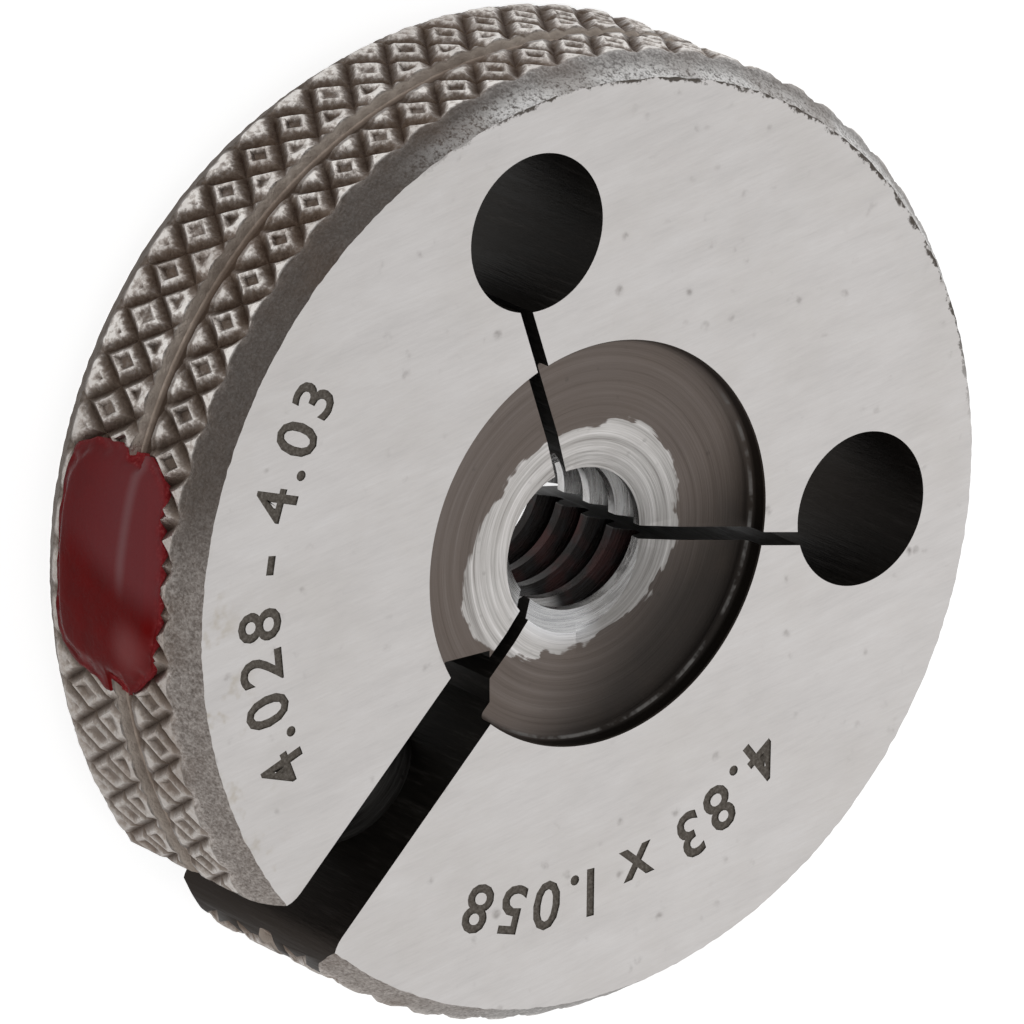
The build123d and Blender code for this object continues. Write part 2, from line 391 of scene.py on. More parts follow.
def turned_steel():
    """Recess: oil-brown lathe marks, a bright scraped ring with ragged edges round the bore, painted
    shade towards +X and on the wall, a painted highlight along the wall's foot and a painted gleam by
    the mouth.
    """
    material, tree, shader = new_material("turned_steel", Metallic=0.85)
    here = placed_group(tree, places_group)
    place, radius, height = here["Place"], here["Radius"], here["Height"]
    flat = add_node(tree, "VectorMath", {0: place, 1: (1, 1, 0)}, operation="MULTIPLY").outputs[0]
    around = add_node(tree, "VectorMath", {0: flat}, operation="NORMALIZE").outputs[0]
    turns = add_node(tree, "VectorMath", {0: around, "Scale": 0.5}, operation="SCALE").outputs[0]
    rings = add_node(tree, "CombineXYZ", {2: worked(tree, "MULTIPLY", radius, 9.0)}).outputs[0]
    spiral = add_node(tree, "VectorMath", {0: turns, 1: rings}, operation="ADD").outputs[0]
    marks = cloud(tree, spiral, 1.0, 4.0, 0.7)
    coarse = add_node(tree, "CombineXYZ", {2: worked(tree, "MULTIPLY", radius, 2.5)}).outputs[0]
    wide = add_node(tree, "VectorMath", {0: turns, 1: coarse}, operation="ADD").outputs[0]
    bands = cloud(tree, wide, 1.0, 3.0, 0.6)
    brown = ramp(
        tree,
        marks,
        (0.25, tint(0.115, 0.094, 0.082)),
        (0.45, tint(0.15, 0.124, 0.11)),
        (0.6, tint(0.165, 0.138, 0.124)),
        (0.8, tint(0.21, 0.182, 0.166)),
    )
    bright = ramp(
        tree,
        marks,
        (0.28, tint(0.2, 0.185, 0.175)),
        (0.42, tint(0.44, 0.425, 0.41)),
        (0.55, tint(0.58, 0.56, 0.545)),
        (0.72, tint(0.78, 0.76, 0.75)),
    )
    rightward = along(tree, place, (1, 0, 0))
    shaded = graded(tree, rightward, 1.2, 4.1, 0.0, 0.88)
    brown = mixed(tree, shaded, brown, tint(0.02, 0.017, 0.015))
    # Painted shade on the recess wall, all round.
    wall = graded(tree, height, 6.12, 6.2, 0.0, 0.6)
    brown = mixed(tree, wall, brown, tint(0.03, 0.024, 0.019))
    # Painted highlight: a broken bright line along the foot of the recess wall on the +X side.
    foot = graded(tree, off(tree, height, 6.04), 0.015, 0.04, 1.0, 0.0)
    foot = worked(tree, "MULTIPLY", foot, graded(tree, cloud(tree, place, 0.7, 3.0, 0.65), 0.42, 0.62))
    foot = worked(tree, "MULTIPLY", foot, graded(tree, rightward, 0.5, 1.6, 0.0, 0.8))
    brown = mixed(tree, foot, brown, tint(0.28, 0.27, 0.26))
    ragged = cloud(tree, place, 1.3, 3.0, 0.5)
    streaky = worked(tree, "MULTIPLY", worked(tree, "SUBTRACT", marks, 0.5), 0.55)
    edge = worked(tree, "ADD", radius, graded(tree, ragged, 0.3, 0.7, -0.22, 0.22))
    edge = worked(tree, "ADD", edge, streaky)
    narrow_side = graded(tree, along(tree, place, (0.98, -0.2, 0)), 0.6, 2.8, 0.0, 0.4)
    edge = worked(tree, "ADD", edge, narrow_side)
    patch = add_node(tree, "VectorMath", {0: flat, 1: (-1.2, -3.1, 0)}, operation="DISTANCE")
    patch = graded(tree, patch.outputs["Value"], 0.8, 2.4, 0.62, 0.0)
    edge = worked(tree, "SUBTRACT", edge, patch)
    scraped = graded(tree, edge, 3.1, 3.17, 1.0, 0.0)
    scraped = worked(tree, "MULTIPLY", scraped, graded(tree, height, 5.0, 5.2))
    # Painted shade: the scraped ring greys towards +X, as the recess floor darkens.
    painted_ring_shade = graded(tree, rightward, 0.4, 2.4, 0.0, 0.5)
    bright = mixed(tree, painted_ring_shade, bright, tint(0.2, 0.19, 0.18))
    # Painted highlight: a near-white gleam on the cone by the bore's mouth, on one side.
    gleam = graded(tree, along(tree, around, (0.36, -0.93, 0)), 0.75, 0.95)
    gleam = worked(tree, "MULTIPLY", gleam, graded(tree, radius, 2.0, 2.9, 1.0, 0.0))
    bright = mixed(tree, gleam, bright, tint(0.96, 0.97, 1.0))
    stains = placed_group(tree, stains_group, Place=place, Pit_Size=0.35, Pits=0.5)
    colour = mixed(tree, scraped, brown, bright)
    pits = worked(tree, "MULTIPLY", stains["Pits"], 0.8)
    colour = mixed(tree, pits, colour, tint(0.05, 0.045, 0.04))
    warm = worked(tree, "MULTIPLY", stains["Cloud"], 0.2)
    colour = mixed(tree, warm, colour, tint(0.13, 0.095, 0.07))
    tree.links.new(colour, shader.inputs["Base Color"])
    banded = worked(tree, "MULTIPLY", bands, 0.12)
    rough = worked(tree, "ADD", graded(tree, scraped, 0.0, 1.0, 0.42, 0.36), banded)
    tree.links.new(rough, shader.inputs["Roughness"])
    bumped(tree, shader, worked(tree, "ADD", marks, worked(tree, "MULTIPLY", bands, 0.5)), 0.012)
    return material


def ground_steel():
    """Faces: fine grinding lines all one way, a few dark pits and faint oil stains."""
    material, tree, shader = new_material("ground_steel", Metallic=0.9)
    here = placed_group(tree, places_group)
    place, radius = here["Place"], here["Radius"]
    laid = add_node(tree, "Mapping", {"Vector": place, "Rotation": (0, 0, radians(-54))}).outputs[0]
    lines = add_node(tree, "VectorMath", {0: laid, 1: (1.1, 10.0, 1.0)}, operation="MULTIPLY")
    fine = cloud(tree, lines.outputs[0], 1.0, 4.0, 0.6)
    wider = add_node(tree, "VectorMath", {0: laid, 1: (0.5, 1.7, 1.0)}, operation="MULTIPLY")
    broad = worked(tree, "MULTIPLY", cloud(tree, wider.outputs[0], 1.0, 3.0, 0.6), 0.4)
    both = worked(tree, "ADD", worked(tree, "MULTIPLY", fine, 0.6), broad)
    colour = ramp(
        tree,
        both,
        (0.3, tint(0.55, 0.53, 0.52)),
        (0.5, tint(0.62, 0.597, 0.585)),
        (0.7, tint(0.68, 0.66, 0.65)),
    )
    stains = placed_group(tree, stains_group, Place=place, Pit_Size=0.7, Pits=0.5)
    warm = worked(tree, "MULTIPLY", stains["Cloud"], 0.12)
    colour = mixed(tree, warm, colour, tint(0.4, 0.36, 0.3))
    oil = graded(tree, cloud(tree, place, 0.9, 3.0, 0.6), 0.52, 0.68)
    by_text = graded(tree, along(tree, place, (-0.53, -0.85, 0)), 10.3, 11.6, 0.0, 0.5)
    colour = mixed(tree, worked(tree, "MULTIPLY", oil, by_text), colour, tint(0.36, 0.3, 0.2))
    colour = mixed(tree, stains["Pits"], colour, tint(0.12, 0.1, 0.088))
    ragged = graded(tree, cloud(tree, place, 0.32, 4.0, 0.7), 0.3, 0.7, -0.1, 0.1)
    torn = graded(tree, worked(tree, "ADD", radius, ragged), 12.06, 12.14)
    top_side = graded(tree, along(tree, place, (-0.26, 0.97, 0)), 6.0, 9.5)
    colour = mixed(tree, worked(tree, "MULTIPLY", torn, top_side), colour, tint(0.09, 0.078, 0.068))
    tree.links.new(colour, shader.inputs["Base Color"])
    rough = graded(tree, fine, 0.2, 0.8, 0.4, 0.46)
    tree.links.new(rough, shader.inputs["Roughness"])
    bumped(tree, shader, fine, 0.003)
    return material


def recess_corner_arc(floor_height, up):
    """The rounded corner between a recess's wall and its floor, from the wall inwards."""
    steps = 5
    for n in range(steps + 1):
        turn = pi / 2 * n / steps
        yield (
            recess_radius - recess_corner * (1 - cos(turn)),
            floor_height + up * recess_corner * (1 - sin(turn)),
        )


def ring_inside(ring):
    """Adds the recesses, cones and pilot bore to the blank's mesh."""
    outline = [
        (recess_radius + lip_width, ring_height),
        (recess_radius, ring_height - lip_height),
        *recess_corner_arc(front_floor, 1),
        (cone_radius, front_floor),
        (mouth_radius, front_cone),
        (pilot_radius, front_cone - pilot_run),
        (pilot_radius, back_cone + pilot_run),
        (mouth_radius, back_cone),
        (cone_radius, back_floor),
        *reversed(list(recess_corner_arc(back_floor, -1))),
        (recess_radius, lip_height),
        (recess_radius + lip_width, 0),
    ]
    rim = set(ring.verts)
    line = [ring.verts.new((r, 0, z)) for r, z in outline]
    section = [ring.edges.new(pair) for pair in zip(line, line[1:])]
    bmesh.ops.spin(
        ring, geom=line + section, axis=(0, 0, 1), angle=tau, steps=spin_steps, use_merge=True
    )
    recess = [v for v in ring.verts if v not in rim and hypot(*v.co.xy) > cone_radius + 0.1]
    front = [v for v in recess if v.co.z > ring_height / 2]
    bmesh.ops.translate(ring, vec=recess_off_centre, verts=front)
    for face in ring.faces:
        if face.verts[0] not in rim:
            face.material_index = 1


def level_loop(ring, height, outermost):
    """The open edges at one height, on the rim or round the recess."""
    middle = (rim_radius + recess_radius) / 2
    return [
        e
        for e in ring.edges
        if e.is_boundary
        and all(abs(v.co.z - height) < 1e-4 for v in e.verts)
        and (hypot(*e.verts[0].co.xy) > middle) == outermost
    ]


def ring_blank():
    """The whole blank: rim, inside and both ground faces, closed and facing outwards."""
    ring = ring_rim()
    ring_inside(ring)
    for height in (0, ring_height):
        loops = level_loop(ring, height, True) + level_loop(ring, height, False)
        filled = bmesh.ops.triangle_fill(ring, edges=loops, normal=(0, 0, 1), use_beauty=True)
        for face in filled["geom"]:
            if isinstance(face, bmesh.types.BMFace):
                face.material_index = 2
    bmesh.ops.triangulate(ring, faces=ring.faces)
    bmesh.ops.recalc_face_normals(ring, faces=ring.faces)
    return ring


turned = turned_steel()
ground = ground_steel()

# ---- Ring body: the thread ---------------------------------------------------------------------
# A tap cuts the No. 10-24 right-hand thread through the pilot bore. The tap here is a screw of the
# thread's own section, and what it leaves is the thread.

thread_pitch = 25.4 / 24
crest_radius, root_radius = 1.9, 2.415
crest_flat, root_flat = 0.28, 0.18
tap_low, tap_turns = -0.868, 8
tap_steps = 96


def tapped_steel():
    """Thread: smooth cut steel with marks along its turns; painted light on the flanks between the
    slots, by the link slot and near the mouth; painted shade with dim painted red and grey-blue
    reflections elsewhere and in the roots; a painted highlight at the mouth.
    """
    material, tree, shader = new_material("tapped_steel", Metallic=0.9)
    here = placed_group(tree, places_group)
    place, radius, height = here["Place"], here["Radius"], here["Height"]
    marks = add_node(tree, "CombineXYZ", {0: worked(tree, "MULTIPLY", radius, 14.0), 2: height})
    drawn = add_node(tree, "VectorMath", {0: place, 1: marks.outputs[0]}, operation="ADD").outputs[0]
    scored = cloud(tree, drawn, 0.8, 4.0, 0.7)
    steel = ramp(
        tree,
        scored,
        (0.25, tint(0.3, 0.29, 0.28)),
        (0.5, tint(0.6, 0.59, 0.58)),
        (0.75, tint(0.85, 0.85, 0.85)),
    )
    # Painted shade deeper in the thread and in its roots, with dim painted red and grey-blue
    # reflections.
    red_brown_patches = graded(tree, cloud(tree, place, 0.9, 3.0), 0.45, 0.62)
    dark = mixed(tree, red_brown_patches, tint(0.022, 0.019, 0.018), tint(0.046, 0.022, 0.021))
    dark = mixed(tree, graded(tree, scored, 0.45, 0.75, 0.0, 0.3), dark, tint(0.1, 0.107, 0.118))
    flat = add_node(tree, "VectorMath", {0: place, 1: (1, 1, 0)}, operation="MULTIPLY").outputs[0]
    around = add_node(tree, "VectorMath", {0: flat}, operation="NORMALIZE").outputs[0]
    # Painted light on the flanks between the slots, by the link slot and near the mouth.
    between_slots = graded(tree, along(tree, around, (-0.05, 1, 0)), 0.5, 0.6)
    by_link = graded(tree, along(tree, around, (0.2, -0.98, 0)), 0.72, 0.93)
    by_link = worked(tree, "MULTIPLY", by_link, graded(tree, height, 3.4, 4.0))
    painted_lit_flanks = worked(tree, "MAXIMUM", between_slots, by_link)
    painted_lit_flanks = worked(tree, "MAXIMUM", painted_lit_flanks, graded(tree, height, 5.3, 5.6, 0.0, 0.9))
    painted_lit_flanks = worked(tree, "MULTIPLY", painted_lit_flanks, graded(tree, radius, 2.2, 2.38, 1.0, 0.15))
    colour = mixed(tree, painted_lit_flanks, dark, steel)
    # Painted highlight on the first turns at the mouth, on one side.
    painted_highlight_patch = graded(tree, along(tree, around, (0.36, -0.93, 0)), 0.75, 0.95)
    painted_highlight_patch = worked(tree, "MULTIPLY", painted_highlight_patch, graded(tree, height, 5.0, 5.3))
    shine = ramp(tree, scored, (0.35, tint(0.66, 0.66, 0.68)), (0.6, tint(1, 1, 1)))
    colour = mixed(tree, painted_highlight_patch, colour, shine)
    tree.links.new(colour, shader.inputs["Base Color"])
    tree.links.new(graded(tree, scored, 0.2, 0.8, 0.2, 0.36), shader.inputs["Roughness"])
    bumped(tree, shader, scored, 0.01)
    return material


def thread_tap():
    """The screw whose turns the thread is the print of, closed at both ends."""
    tap = bmesh.new()
    flank = (thread_pitch - crest_flat - root_flat) / 2
    outline = []
    for n in range(tap_turns):
        foot = tap_low + n * thread_pitch
        outline += [
            (crest_radius, foot),
            (crest_radius, foot + crest_flat),
            (root_radius, foot + crest_flat + flank),
            (root_radius, foot + crest_flat + flank + root_flat),
        ]
    outline.append((crest_radius, tap_low + tap_turns * thread_pitch))
    line = [tap.verts.new((r, 0, z)) for r, z in outline]
    section = [tap.edges.new(pair) for pair in zip(line, line[1:])]
    rise = (0, 0, thread_pitch / tap_steps)
    bmesh.ops.spin(
        tap, geom=line + section, axis=(0, 0, 1), angle=tau, steps=tap_steps, dvec=rise
    )
    bmesh.ops.remove_doubles(tap, verts=tap.verts, dist=0.001)
    bmesh.ops.holes_fill(tap, edges=[e for e in tap.edges if e.is_boundary], sides=0)
    bmesh.ops.triangulate(tap, faces=tap.faces)
    bmesh.ops.recalc_face_normals(tap, faces=tap.faces)
    return tap


tapped = tapped_steel()

# ---- Ring body: slots, holes and the screws' hole ----------------------------------------------
# Two saw cuts run from the bore to round terminal holes, so that the ring can spring. A wide slot
# opens through the rim, and a fine cut joins it to the bore. A stepped hole crosses the wide slot.

terminal_slot_width = 0.35
terminal_slots = (              # angle in degrees, side shift, and the place of its hole
    (33.0, 0.21, 8.5, 1.0),
    (153.0, 0.0, 8.8, -0.93),
)
terminal_hole_radius = 2.05
wide_slot_middle = -0.46
wide_slot_width = 1.95
wide_slot_reach = 3.68
wide_slot_corner = 0.88
link_slot_width = 0.4
link_slot_shift = -0.13
screw_line = -8.0
adjuster_hole_radius, sleeve_hole_radius, lock_hole_radius = 2.09, 1.95, 1.18
adjuster_hole_end = -2.925
past_ring = 1.0                 # how far each cutter runs past the faces
past_rim = 1.1                  # how many times as far out as the rim the wide slot's cutter runs


def sawn_steel():
    """Walls of the slots and holes: unground and near black, with faint cutting marks."""
    material, tree, shader = new_material("sawn_steel")
    here = placed_group(tree, places_group)
    drawn = add_node(tree, "VectorMath", {0: here["Place"], 1: (5.0, 5.0, 0.5)}, operation="MULTIPLY")
    marks = cloud(tree, drawn.outputs[0], 1.0, 4.0, 0.7)
    colour = ramp(
        tree,
        marks,
        (0.3, tint(0.012, 0.01, 0.008)),
        (0.55, tint(0.026, 0.022, 0.018)),
        (0.78, tint(0.09, 0.082, 0.075)),
    )
    by_rim = graded(tree, here["Radius"], 8.5, 11.8)
    colour = mixed(tree, worked(tree, "MULTIPLY", by_rim, 0.6), colour, tint(0.022, 0.014, 0.01))
    tree.links.new(colour, shader.inputs["Base Color"])
    tree.links.new(graded(tree, by_rim, 0.0, 1.0, 0.6, 0.85), shader.inputs["Metallic"])
    tree.links.new(graded(tree, marks, 0.2, 0.8, 0.42, 0.6), shader.inputs["Roughness"])
    bumped(tree, shader, marks, 0.02)
    return material


def bar(low, high):
    """A square-cornered cutter between two corners."""
    cutter = bmesh.new()
    bmesh.ops.create_cube(cutter, size=1)
    bmesh.ops.translate(cutter, vec=(0.5, 0.5, 0.5), verts=cutter.verts)
    size = [b - a for a, b in zip(low, high)]
    bmesh.ops.scale(cutter, vec=size, verts=cutter.verts)
    bmesh.ops.translate(cutter, vec=low, verts=cutter.verts)
    return cutter


def drill(radius, length, place):
    """A round cutter of that length, placed by a matrix."""
    cutter = bmesh.new()
    bmesh.ops.create_cone(
        cutter, cap_ends=True, segments=96, radius1=radius, radius2=radius, depth=length, matrix=place
    )
    return cutter


def swung(cutter, angle):
    """A cutter turned about the bore's axis."""
    bmesh.ops.rotate(cutter, matrix=Matrix.Rotation(angle, 3, "Z"), verts=cutter.verts)
    return cutter


def flared_corner(wall, side):
    """The rounded corner from the wide slot's wall out on to the rim, as points."""
    across = wall + side * wide_slot_corner
    centre = Vector((across, -sqrt((rim_radius - wide_slot_corner) ** 2 - across**2)))
    start = pi if side > 0 else 0
    end = atan2(centre.y, centre.x)
    sweep = (end - start + pi) % tau - pi
    steps = 10
    for n in range(steps + 1):
        turn = start + sweep * n / steps
        yield centre + wide_slot_corner * Vector((cos(turn), sin(turn)))


def wide_slot():
    """The cutter of the wide slot, pointed at its inner end and flared at the rim."""
    left = wide_slot_middle - wide_slot_width / 2
    right = wide_slot_middle + wide_slot_width / 2
    shoulder = -wide_slot_reach - wide_slot_width / 2
    left_corner, right_corner = list(flared_corner(left, -1)), list(flared_corner(right, 1))
    outline = [
        (wide_slot_middle, -wide_slot_reach),
        (left, shoulder),
        *left_corner,
        left_corner[-1] * past_rim,
        right_corner[-1] * past_rim,
        *reversed(right_corner),
        (right, shoulder),
    ]
    cutter = bmesh.new()
    floor = cutter.faces.new([cutter.verts.new((x, y, -past_ring)) for x, y in outline])
    wall = bmesh.ops.extrude_face_region(cutter, geom=[floor], use_keep_orig=True)["geom"]
    top = [v for v in wall if isinstance(v, bmesh.types.BMVert)]
    bmesh.ops.translate(cutter, vec=(0, 0, ring_height + 2 * past_ring), verts=top)
    bmesh.ops.recalc_face_normals(cutter, faces=cutter.faces)
    return cutter


def slots_and_holes():
    """Each cutter in turn: the slots, the holes that end them and the screws' stepped hole."""
    low, high = -past_ring, ring_height + past_ring
    yield wide_slot()
    half = link_slot_width / 2
    shoulder = wide_slot_reach + wide_slot_width / 2
    yield bar((link_slot_shift - half, -shoulder, low), (link_slot_shift + half, 0, high))
    half = terminal_slot_width / 2
    for angle, shift, hole_reach, hole_shift in terminal_slots:
        yield swung(bar((0, shift - half, low), (hole_reach, shift + half, high)), radians(angle))
        centre = (hole_reach, hole_shift, ring_height / 2)
        hole = drill(terminal_hole_radius, high - low, Matrix.Translation(centre))
        yield swung(hole, radians(angle))
    for radius, start, end in (
        (adjuster_hole_radius, -rim_radius, adjuster_hole_end),
        (sleeve_hole_radius, -rim_radius, wide_slot_middle),
        (lock_hole_radius, -rim_radius, rim_radius),
    ):
        centre = Matrix.Translation(((start + end) / 2, screw_line, ring_height / 2))
        yield drill(radius, end - start, centre @ Matrix.Rotation(pi / 2, 4, "Y"))


def as_object(shape, name, *materials):
    """Makes an object of a mesh in millimetres and frees the mesh."""
    mesh = bpy.data.meshes.new(name)
    shape.to_mesh(mesh)
    shape.free()
    for material in materials:
        mesh.materials.append(material)
    piece = bpy.data.objects.new(name, mesh)
    bpy.context.scene.collection.objects.link(piece)
    return piece


def cut_away(piece, cutter):
    """Takes a cutter's shape out of a piece; the walls that it leaves get the cutter's material."""
    tool = piece.modifiers.new("cut", "BOOLEAN")
    tool.operation = "DIFFERENCE"
    tool.solver = "MANIFOLD"
    tool.material_mode = "TRANSFER"
    tool.object = cutter
    bpy.context.view_layer.update()
    result = piece.evaluated_get(bpy.context.evaluated_depsgraph_get())
    old = piece.data
    mesh = bpy.data.meshes.new_from_object(result)
    piece.modifiers.clear()
    piece.data = mesh
    bpy.data.meshes.remove(old)
    bpy.data.objects.remove(cutter)


sawn = sawn_steel()

# ---- Ring body: the marked numbers -------------------------------------------------------------
# The sizes are cut into the front face with a fine pantograph cutter, on two arcs that read
# clockwise with their tops outwards, and the cuts hold dark filler.

letter_depth = 0.03
letter_size = 1.8
letter_weight = 0.03
letter_gap = 0.24
space_width = 0.55
letter_reach = 0.5              # half the height of each cutter
marked_lines = (                # text, first letter's foot radius and angle in degrees, drift outwards
    ("4.028 - 4.03", 9.78, -110.5, 0.0),
    ("4.83 x 1.058", 8.1, -3.0, 0.85),
)


def etched_steel():
    """Floors of the cut figures: dark filler that has worn thin in places."""
    material, tree, shader = new_material("etched_steel", Metallic=0.5)
    place = placed_group(tree, places_group)["Place"]
    grain = cloud(tree, place, 0.09, 3.0, 0.6)
    colour = ramp(
        tree,
        grain,
        (0.3, tint(0.06, 0.048, 0.037)),
        (0.5, tint(0.125, 0.107, 0.088)),
        (0.72, tint(0.24, 0.215, 0.19)),
    )
    tree.links.new(colour, shader.inputs["Base Color"])
    tree.links.new(graded(tree, grain, 0.2, 0.8, 0.5, 0.7), shader.inputs["Roughness"])
    bumped(tree, shader, grain, 0.01)
    return material


def figure(letter):
    """One letter as a solid, centred across, its foot on the X axis."""
    line = bpy.data.curves.new("figure", "FONT")
    line.body, line.size = letter, letter_size
    line.align_x = "CENTER"
    line.extrude, line.offset = letter_reach, letter_weight
    line.resolution_u = 3
    shape = bpy.data.objects.new("figure", line)
    mesh = bpy.data.meshes.new_from_object(shape)
    solid = bmesh.new()
    solid.from_mesh(mesh)
    bpy.data.objects.remove(shape)
    bpy.data.curves.remove(line)
    bpy.data.meshes.remove(mesh)
    return solid


def figures_on_arc(text, first_foot, start, drift):
    """A line of figures that runs clockwise from an angle, tops outwards, drifting off its circle."""
    angle = radians(start)
    foot = first_foot
    for letter in text:
        if letter == " ":
            angle -= space_width / foot
            continue
        solid = figure(letter)
        half = max(v.co.x for v in solid.verts)
        angle -= (half + letter_gap / 2) / foot
        middle = ring_height - letter_depth + letter_reach
        place = Matrix.Rotation(angle - pi / 2, 4, "Z") @ Matrix.Translation((0, foot, middle))
        bmesh.ops.transform(solid, matrix=place, verts=solid.verts)
        bmesh.ops.remove_doubles(solid, verts=solid.verts, dist=0.0005)
        bmesh.ops.recalc_face_normals(solid, faces=solid.faces)
        angle -= (half + letter_gap / 2) / foot
        foot = first_foot + drift * (radians(start) - angle)
        yield solid


etched = etched_steel()

# ---- Ring body: put together -------------------------------------------------------------------
# The blank is tapped, slotted, bored across and marked, in that order. Every tool leaves its own
# finish on what it cuts, and the cuts' edges stay sharp.

crease = radians(28)            # a steeper edge than this shows as an edge
metres = Matrix.Scale(0.001, 4)

steel_ring = as_object(ring_blank(), "ring_body_steel", rolled, turned, ground)
cut_away(steel_ring, as_object(thread_tap(), "tap", tapped))
for cutter in slots_and_holes():
    cut_away(steel_ring, as_object(cutter, "cutter", sawn))
for line in marked_lines:
    for solid in figures_on_arc(*line):
        cut_away(steel_ring, as_object(solid, "cutter", etched))
steel_ring.data.transform(metres)
steel_ring.data.shade_smooth()
steel_ring.data.set_sharp_from_angle(angle=crease)
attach(steel_ring, "root")
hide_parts("ring_body")

# ---- Setting screws ----------------------------------------------------------------------------
# A ground bush, a hollow adjusting screw and a locking screw cross the wide slot. Their shapes are
# the solids' own; only the bush's rim shows, as a dull crescent on the slot's wall.


def screw_steel():
    """Turned steel, dulled by oil, with marks round the screws' axis."""
    material, tree, shader = new_material("screw_steel", Metallic=0.9)
    place = placed_group(tree, places_group)["Place"]
    squeezed = add_node(tree, "VectorMath", {0: place, 1: (9.0, 0.7, 0.7)}, operation="MULTIPLY")
    marks = cloud(tree, squeezed.outputs[0], 1.0, 4.0, 0.65)
    colour = ramp(
        tree,
        marks,
        (0.3, tint(0.05, 0.045, 0.04)),
        (0.6, tint(0.12, 0.115, 0.11)),
        (0.8, tint(0.22, 0.21, 0.2)),
    )
    stains = placed_group(tree, stains_group, Place=place, Pit_Size=0.3, Pits=0.5)
    colour = mixed(tree, stains["Pits"], colour, tint(0.02, 0.018, 0.015))
    tree.links.new(colour, shader.inputs["Base Color"])
    tree.links.new(graded(tree, marks, 0.2, 0.8, 0.35, 0.5), shader.inputs["Roughness"])
    bumped(tree, shader, marks, 0.01)
    return material


bush_steel = screw_steel()
for name in ("adjusting_sleeve", "adjusting_screw", "locking_screw"):
    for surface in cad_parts[name].material_slots:
        surface.material = bush_steel

# ---- Sealing wax -------------------------------------------------------------------------------
# Red sealing wax is run into the screws' hole and pressed down over the knurl. It is thick in the
# middle, and at its edges a thin film follows the knurl and runs out in small lobes.

wax_middle = radians(219.05)
wax_length, wax_width = 6.0, 4.1
wax_height_middle = 3.1
wax_height = 0.24
wax_sag = 0.02
wax_dimple = 0.025
wax_film = 0.045                # thickness of its thin edge over the knurl
wax_bulge = 0.28                # where it swells towards the front, over the screws' hole
wax_tail = 0.4                  # how far its lobe runs down the rim
wax_root = 12.3                 # its underside, sunk in the knurl
knurl_shows = 0.25              # share of the knurl's depth that its edge follows
wax_steps = (110, 80)


def wax_outline(x, y):
    """Where a point of a square patch lies on the wax, round the rim and along its height."""
    reach = max(abs(x), abs(y))
    if reach == 0:
        return 0, 0, 0
    corner = (abs(x / reach) ** 5 + abs(y / reach) ** 5) ** (-1 / 5)
    x, y = x * corner, y * corner
    wobble = noise.noise(Vector((x * 1.3, y * 1.3, 4.0))) * 0.07
    wobble += noise.noise(Vector((x * 5, y * 5, 7.0))) * 0.035
    grow = 1 + wobble * reach**3
    tail = wax_tail * ease(x, 0.7, 1.0) * max(1 - abs(y - 0.25) / 0.5, 0) ** 0.7
    bulge = wax_bulge * ease(y, 0.3, 1.0) * max(1 - (x / 0.55) ** 2, 0)
    return x * grow * wax_length / 2 + tail, y * grow * wax_width / 2 + bulge, reach


def wax_patch():
    """The wax as a closed shell, domed above and buried in the knurl below."""
    wax = bmesh.new()
    bmesh.ops.create_grid(wax, x_segments=wax_steps[0], y_segments=wax_steps[1], size=1)
    top = wax.faces[:]
    under = bmesh.ops.extrude_face_region(wax, geom=top, use_keep_orig=True)["geom"]
    sunk = {v for v in under if isinstance(v, bmesh.types.BMVert)}
    for v in wax.verts:
        across, up, reach = wax_outline(v.co.x, v.co.y)
        angle, height = wax_middle + across / rim_radius, wax_height_middle + up
        knurled = rim_radius - knurl_shows * knurl_depth_at(angle, height)
        steel_top = min(rim_profile(height), knurled)
        dome = rim_radius + wax_height * sqrt(max(1 - reach**6, 0)) - wax_sag
        dome += wax_dimple * noise.noise(Vector((across * 0.8, up * 0.8, 1.0))) * (1 - reach)
        edge = ease(reach, 0.82, 0.97)
        radius = dome * (1 - edge) + (steel_top + wax_film) * edge
        if v in sunk:
            radius = wax_root
        v.co = (radius * cos(angle), radius * sin(angle), height)
    bmesh.ops.recalc_face_normals(wax, faces=wax.faces)
    return wax


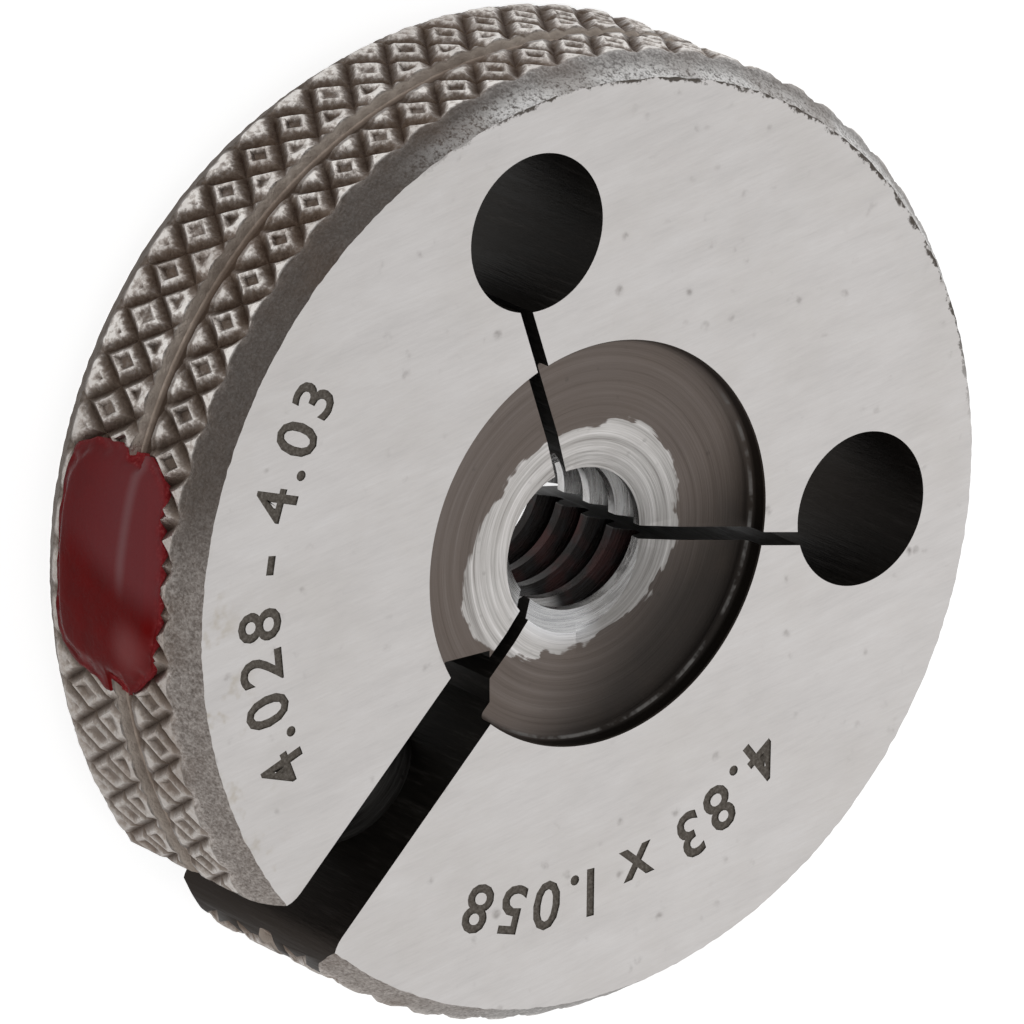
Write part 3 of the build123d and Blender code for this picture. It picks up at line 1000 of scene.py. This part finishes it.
def sealing_wax():
    """Deep red glossy wax, brighter and pinker where it is thin, with dust in its surface and a
    painted pink sheen with a paler painted highlight streak.
    """
    material, tree, shader = new_material("sealing_wax", Specular_IOR_Level=0.02, Coat_Weight=0.03)
    here = placed_group(tree, places_group)
    place, radius, height = here["Place"], here["Radius"], here["Height"]
    lumps = cloud(tree, place, 0.8, 3.0, 0.55)
    grain = cloud(tree, place, 0.1, 3.0, 0.6)
    deep = ramp(
        tree,
        lumps,
        (0.3, tint(0.18, 0.006, 0.006)),
        (0.55, tint(0.21, 0.007, 0.007)),
        (0.8, tint(0.25, 0.01, 0.01)),
    )
    thin = ramp(
        tree,
        grain,
        (0.35, tint(0.3, 0.02, 0.025)),
        (0.6, tint(0.44, 0.05, 0.055)),
        (0.75, tint(0.55, 0.17, 0.17)),
    )
    up = worked(tree, "SUBTRACT", height, ring_height / 2)
    down_rim = along(tree, place, (-sin(wax_middle), cos(wax_middle), 0))
    fade = worked(tree, "SUBTRACT", down_rim, worked(tree, "MULTIPLY", up, 0.3))
    # Painted reflection: a soft pink sheen towards the front and one end of the wax, with a paler
    # streak in it.
    painted_sheen = graded(tree, fade, -0.5, 0.6, 1.0, 0.0)
    painted_sheen = worked(tree, "MULTIPLY", painted_sheen, graded(tree, up, -1.8, 0.8, 0.35, 0.9))
    deep = mixed(tree, painted_sheen, deep, tint(0.3, 0.064, 0.07))
    sheen_streak = worked(tree, "MULTIPLY", graded(tree, off(tree, up, 0.75), 0.0, 0.3, 0.42, 0.0), painted_sheen)
    deep = mixed(tree, sheen_streak, deep, tint(0.45, 0.27, 0.28))
    smear = add_node(tree, "VectorMath", {0: place, 1: (-8.7, -9.5, 4.4)}, operation="DISTANCE")
    smear = graded(tree, smear.outputs["Value"], 0.1, 1.0, 0.55, 0.0)
    deep = mixed(tree, smear, deep, tint(0.46, 0.14, 0.14))
    colour = mixed(tree, graded(tree, radius, 12.62, 12.76, 1.0, 0.0), deep, thin)
    tree.links.new(colour, shader.inputs["Base Color"])
    tree.links.new(graded(tree, lumps, 0.3, 0.7, 0.22, 0.36), shader.inputs["Roughness"])
    bumped(tree, shader, worked(tree, "ADD", lumps, worked(tree, "MULTIPLY", grain, 0.15)), 0.03)
    return material


pressed_wax = as_object(wax_patch(), "wax_seal_pressed", sealing_wax())
pressed_wax.data.transform(metres)
pressed_wax.data.shade_smooth()
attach(pressed_wax, "root")
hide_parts("wax_seal")

# ---- Studio ------------------------------------------------------------------------------------
# A white table, an even pale surround and one large soft lamp across the table from the camera.
# The gauge lies on its back face. Sizes here are in metres.

table_reach = 3
table_drop = 0.00002            # keeps the table's top clear of the back face
table_glow = 0.85
surround_light = 0.45
lamp_place, lamp_size, lamp_power = (0.3, 0.08, 0.24), 0.3, 0.25
camera_place = Vector((-0.19956, -0.05186, 0.23923))
look_ahead = Vector((0.6366, 0.1653, -0.7533))
look_right = Vector((0.5649, 0.5650, 0.6013))
look_up = Vector((-0.5250, 0.8083, -0.2663))
focal_share = 12381 / 1024      # focal length over the film's width
film_width = 36

table_mesh = bmesh.new()
bmesh.ops.create_grid(table_mesh, x_segments=1, y_segments=1, size=table_reach)
bmesh.ops.translate(table_mesh, vec=(0, 0, -table_drop), verts=table_mesh.verts)
table = as_object(table_mesh, "floor")

white, tree, shader = new_material("white_table", Base_Color=tint(0.5, 0.5, 0.5), Roughness=0.9)
rays = add_node(tree, "LightPath", {})
seen = worked(tree, "MAXIMUM", rays.outputs["Is Camera Ray"], rays.outputs["Is Glossy Ray"])
seen = worked(tree, "MAXIMUM", seen, rays.outputs["Is Transmission Ray"])
glow = add_node(tree, "Emission", {"Strength": worked(tree, "MULTIPLY", seen, table_glow)})
lit = add_node(tree, "AddShader", {0: shader.outputs[0], 1: glow.outputs[0]})
tree.links.new(lit.outputs[0], tree.nodes["Material Output"].inputs["Surface"])
table.data.materials.append(white)

world = bpy.data.worlds.new("surround")
bpy.context.scene.world = world
world.use_nodes = True
tree = world.node_tree
pale = tree.nodes["Background"]
pale.inputs["Color"].default_value = tint(1, 1, 1)
seen = add_node(tree, "LightPath", {}).outputs["Is Camera Ray"]
tree.links.new(graded(tree, seen, 0.0, 1.0, surround_light, 1.0), pale.inputs["Strength"])

lamp = bpy.data.objects.new("key_lamp", bpy.data.lights.new("key_lamp", "AREA"))
lamp.data.size, lamp.data.energy = lamp_size, lamp_power
facing = Vector(lamp_place).to_track_quat("Z", "Y").to_matrix().to_4x4()
lamp.matrix_world = Matrix.Translation(lamp_place) @ facing
bpy.context.scene.collection.objects.link(lamp)

camera = bpy.data.objects.new("camera", bpy.data.cameras.new("camera"))
bpy.context.scene.collection.objects.link(camera)
camera.data.lens = focal_share * film_width
camera.data.clip_start = 0.01
axes = Matrix((look_right, look_up, -look_ahead)).transposed()
camera.matrix_world = Matrix.Translation(camera_place) @ axes.to_4x4()
bpy.context.scene.camera = camera
bpy.context.scene.view_settings.view_transform = "Standard"
